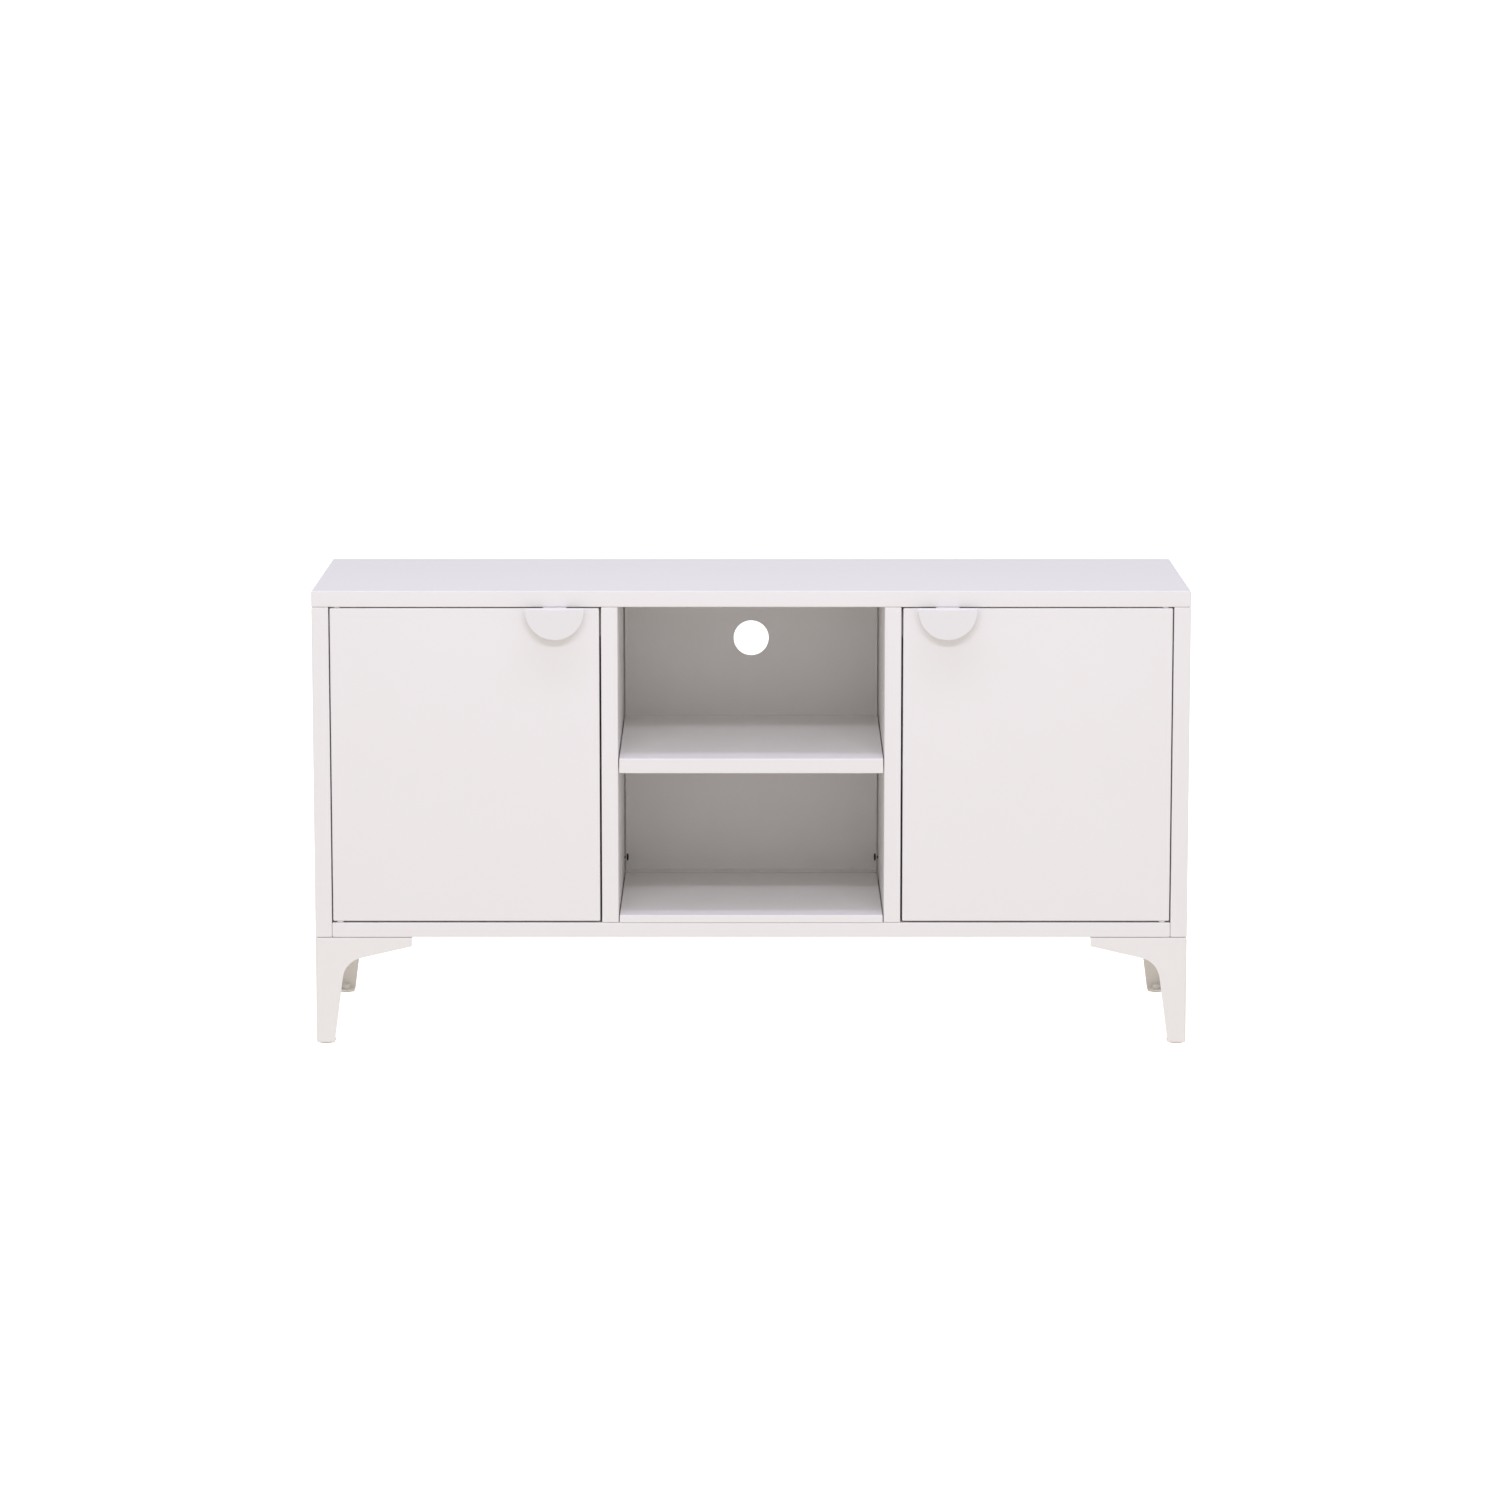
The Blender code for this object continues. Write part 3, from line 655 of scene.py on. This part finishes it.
leg = {
    "arm": 0.133, "armEnd": 0.0125, "meet": (0.0401, 0.0339), "fillet": 0.032, "foot": 0.025,
    "return": 0.028, "bend": 0.0025, "bendSteps": 6, "sheet": 0.0020, "edge": 0.0004, "steps": 24,
}


def legOutline(drop):
    # (along, down) from the arm's end, along its sloping lower edge, round the fillet and down to the foot:
    # the fillet is an arc tangent to both straight edges, its centre on the line that halves their angle
    armTip, footTip = np.array((leg["arm"], leg["armEnd"])), np.array((leg["foot"], drop))
    meet = np.array(leg["meet"])
    toArm, toFoot = ((tip - meet) / np.linalg.norm(tip - meet) for tip in (armTip, footTip))
    half = math.acos(toArm @ toFoot) / 2
    centreWay = (toArm + toFoot) / np.linalg.norm(toArm + toFoot)
    centre = meet + centreWay * leg["fillet"] / math.sin(half)
    start, finish = (meet + way * leg["fillet"] / math.tan(half) - centre for way in (toArm, toFoot))
    share = np.linspace(0, 1, leg["steps"] + 1)[:, None]
    sweep = math.pi - 2 * half
    arc = centre + (np.sin((1 - share) * sweep) * start + np.sin(share * sweep) * finish) / math.sin(sweep)
    return np.array([(leg["arm"], 0), armTip, *arc, footTip])


def legShape(node, sign, end):
    # two walls at the stand's corner, a flange under the bottom panel and a sole plate at the foot
    low, high = corners(node)
    corner = np.array([high[0] if sign > 0 else low[0], high[1] if end > 0 else low[1], high[2]])
    alongX, alongY, down = np.array([-sign, 0, 0]), np.array([0, -end, 0]), np.array([0, 0, -1])
    drop = high[2] - low[2]
    outline = legOutline(drop)
    walls = [corner + outline[:, :1] * along + outline[:, 1:] * down for along in (alongX, alongY)]
    inner = [(leg["arm"], leg["return"]), (leg["return"], leg["return"]), (leg["return"], leg["arm"])]
    flange = [corner + alongX * a + alongY * b for a, b in inner]
    toe = corner + down * drop
    sole = toe + (alongX + alongY) * leg["foot"]
    points = np.array([corner, toe, sole, *flange, *walls[0], *walls[1]])
    count = len(outline)
    wallX, wallY = (list(range(first, first + count)) for first in (6, 6 + count))
    faces = [[0, *wallX, 1], [0, *wallY, 1], [0, wallX[0], 3, 4, 5, wallY[0]], [1, wallX[-1], 2, wallY[-1]]]
    return outwardFrom(points, faces, corner + (alongX + alongY + down) * leg["foot"] / 2)


def makeLegs():
    folded = bentAndThick(leg)
    for side, sign in sides:
        for place, end in ends:
            node = f"leg_{place}_{side}"
            standIn(node, legShape(node, sign, end), legCoat, "powder_coat", foldAndThicken=folded,
                    cuts=holesFor(node))
    print("legs made")


heads = {
    # rows are shares of the head's radius and height, and a row's number of sides
    "six": [(0.72, 0, 0), (0.90, 0.06, 0), (1, 0.22, 6), (1, 0.92, 6), (0.97, 1, 6)],
    "crown": 0.35, "domeFrom": 0.12, "domeRows": 7, "brim": [(1, 0.94), (0.97, 1)],
    "tipLength": 0.35, "tipRadius": 0.75, "around": 36, "widest": 0.98,
}
cross = {"wide": 0.0021, "narrow": 0.0005, "depth": 0.0012}


def shaftOf(node):
    # the middle of a pin's head end, the way its shank points, and its length, from its node's points
    mesh = frame["nodes"][node].data
    points = np.zeros(len(mesh.vertices) * 3)
    mesh.vertices.foreach_get("co", points)
    points = points.reshape(-1, 3)
    low, high = points.min(0), points.max(0)
    along = int(np.argmax(high - low))
    middle = (low + high) / 2
    reach = np.linalg.norm(np.delete(points - middle, along, 1), axis=1)
    headAt = points[reach > reach.max() * heads["widest"]][:, along].mean()
    up = 1 if headAt < middle[along] else -1
    axis = np.eye(3)[along] * up
    start = middle.copy()
    start[along] = low[along] if up > 0 else high[along]
    return start, axis, high[along] - low[along]


def headedPin(node, material, slot, **more):
    # a chamfered shank under a domed or six-sided head; heights run from the crown of the head
    start, axis, length = shaftOf(node)
    sizes = shaftSizes(node)
    radius, wide, head = sizes["radius"], sizes["headRadius"], sizes["head"]
    if "sided" in sizes:
        rows = [(wide * share, head * height, flats) for share, height, flats in heads["six"]]
    else:
        angles = np.linspace(heads["domeFrom"], 1, heads["domeRows"]) * math.pi / 2
        crown = head * heads["crown"]
        rows = [(wide * math.sin(angle), crown * (1 - math.cos(angle))) for angle in angles]
        rows += [(wide * share, head * height) for share, height in heads["brim"]]
    tip = length - radius * heads["tipLength"]
    rows += [(radius, head), (radius, tip), (radius * heads["tipRadius"], length)]
    standIn(node, turned(rows, start, axis, heads["around"]), material, slot, **more)


def makeScrew(node):
    # a dome head with a cross recess, cut by a prism over a twelve-cornered cross
    start, axis, _ = shaftOf(node)
    wide, narrow, depth = cross["wide"], cross["narrow"], cross["depth"]
    arm = np.array([(narrow, wide), (-narrow, wide), (-narrow, narrow)])
    quarters = [arm @ np.array([(c, s), (-s, c)]) for c, s in ((1, 0), (0, 1), (-1, 0), (0, -1))]
    outline = np.concatenate(quarters)
    points = np.empty((2, len(outline), 3))
    points[..., 1:] = start[1:] + outline
    points[..., 0] = start[0] + axis[0] * np.array([[-depth], [depth]])
    headedPin(node, darkOxide, "dark_steel", cuts=[facingOut(closedGrid(points))])


def makePin(node):
    headedPin(node, brightZinc, "zinc_steel")


washer = {"bore": 0.0029, "ease": 0.0002, "around": 40}


def makeWasher(node):
    # a flat ring with eased edges: its section is carried round the pin
    low, high = corners(node)
    bore, ease, around = washer["bore"], washer["ease"], washer["around"]
    outer, half = (high[0] - low[0]) / 2, (high[2] - low[2]) / 2
    top = [(outer, half - ease), (outer - ease, half), (bore + ease, half), (bore, half - ease)]
    section = np.array([(radius, -height) for radius, height in top[::-1]] + top)
    angle = np.arange(around) * 2 * np.pi / around
    height = np.broadcast_to(section[None, :, 1], (around, len(section)))
    points = stood(section[None, :, 0], angle[:, None], height, (low + high) / 2, (0, 0, 1))
    faces = gridFaces(around + 1, len(section)) % (around * len(section))
    standIn(node, facingOut((points.reshape(-1, 3), faces.tolist())), naturalNylon, "nylon")


glide = {
    "radius": 0.010, "sole": [(0.6, 0), (0.86, 0.0001), (0.96, 0.0004), (1, 0.0009)],  # share, height
    "padHeight": 0.0017, "padEase": 0.0003, "padTop": 0.97, "stud": 0.003, "around": 48,
    "nut": 0.0060, "nutHeight": 0.0062, "nutSides": 6, "nutRoot": 0.95, "nutEase": 0.0003, "nutFlat": 0.90,
    "nutCrown": [(0.86, 0.97), (0.62, 0.97)], "studTop": [(1, 0.93), (1, 0.97), (0.8, 1)],  # shares
}


def makeGlide(node):
    # a round pad under the foot plate, its stud, and a six-sided nut on the plate
    low, high = corners(node)
    middle = (low + high) / 2
    foot = (middle[0], middle[1], low[2])
    pad, tall = glide["padHeight"], high[2] - low[2]
    radius, stud, nut, flats = glide["radius"], glide["stud"], glide["nut"], glide["nutSides"]
    under = tall - glide["nutHeight"]
    rows = [(radius * share, height) for share, height in glide["sole"]]
    rows += [(radius, pad - glide["padEase"]), (radius * glide["padTop"], pad), (stud, pad), (stud, under)]
    rows += [(nut * glide["nutRoot"], under, flats), (nut, under + glide["nutEase"], flats)]
    rows += [(nut, tall * glide["nutFlat"], flats)]
    rows += [(nut * share, tall * height) for share, height in glide["nutCrown"]]
    rows += [(stud * share, tall * height) for share, height in glide["studTop"]]
    standIn(node, turned(rows, foot, (0, 0, 1), glide["around"]), naturalNylon, "nylon")


catch = {
    "step": 0.0010, "ease": 0.0012, "plateAt": (0.34, 0.66), "plateIn": 0.0025, "plateHalf": 0.0008,
    "plateDepth": 0.012, "plateEase": 0.0002, "slotFit": 0.0002, "slotProud": 0.003,
}


def makeCatch(node):
    # a moulded housing with two steel pole plates at its front
    low, high = corners(node)
    inset, half, fit = catch["plateIn"], catch["plateHalf"], catch["slotFit"]
    slots, plates = [], []
    for share in catch["plateAt"]:
        z = low[2] + (high[2] - low[2]) * share
        plateLow = np.array([low[0] + inset, low[1], z - half])
        plateHigh = np.array([high[0] - inset, low[1] + catch["plateDepth"], z + half])
        slots.append(block(plateLow - (fit, catch["slotProud"], fit), plateHigh + fit))
        plates.append(block(plateLow, plateHigh, catch["plateEase"]))
    housing = block(low + (0, catch["step"] / 2, 0), high, catch["ease"])
    standIn(node, housing, naturalNylon, "nylon", cuts=slots)
    putPiece(camel(node.replace("magnetic_catch", "catch_poles")), joined(plates), brightZinc, "zinc_steel")


def makeSmallParts():
    makers = {
        "back_screw": makeScrew, "pivot_washer": makeWasher, "foot_glide": makeGlide,
        "magnetic_catch": makeCatch,
    }
    for node in sorted(frame["nodes"]):
        maker = next((made for start, made in makers.items() if node.startswith(start)), None)
        if maker:
            maker(node)
        elif shaftSizes(node):
            makePin(node)
    print("small parts made")


def makeFloor():
    # a wide pale sheet under the feet
    half = studio["floorSize"] / 2
    points = np.array([(-half, -half, 0), (half, -half, 0), (half, half, 0), (-half, half, 0)])
    floor = linked("paleFloor", meshFrom("paleFloor", (points, [[0, 1, 2, 3]])))
    unseen = Finish("paleFloor", Roughness=studio["floorRoughness"], Specular_IOR_Level=0.0)
    unseen.feed("Base Color", (*studio["floorColour"], 1))
    unseen.feed("Emission Color", (*studio["glowTint"], 1))
    unseen.feed("Emission Strength", studio["floorGlow"])
    tree = unseen.tree
    white = tree.nodes.new("ShaderNodeEmission")
    both = tree.nodes.new("ShaderNodeAddShader")
    tree.links.new(white.outputs[0], both.inputs[0])
    tree.links.new(unseen.shader.outputs[0], both.inputs[1])
    white.inputs["Strength"].default_value = studio["floorWhite"]
    surface = tree.nodes["Material Output"].inputs["Surface"]
    cameraSwitch(tree, both.outputs[0], unseen.shader.outputs[0], surface)
    floor.data.materials.append(unseen.material)


makeCamera()
makeStudio()
makeFloor()
makeCarcass()
makeShelves()
makeDoors()
makeLegs()
makeSmallParts()
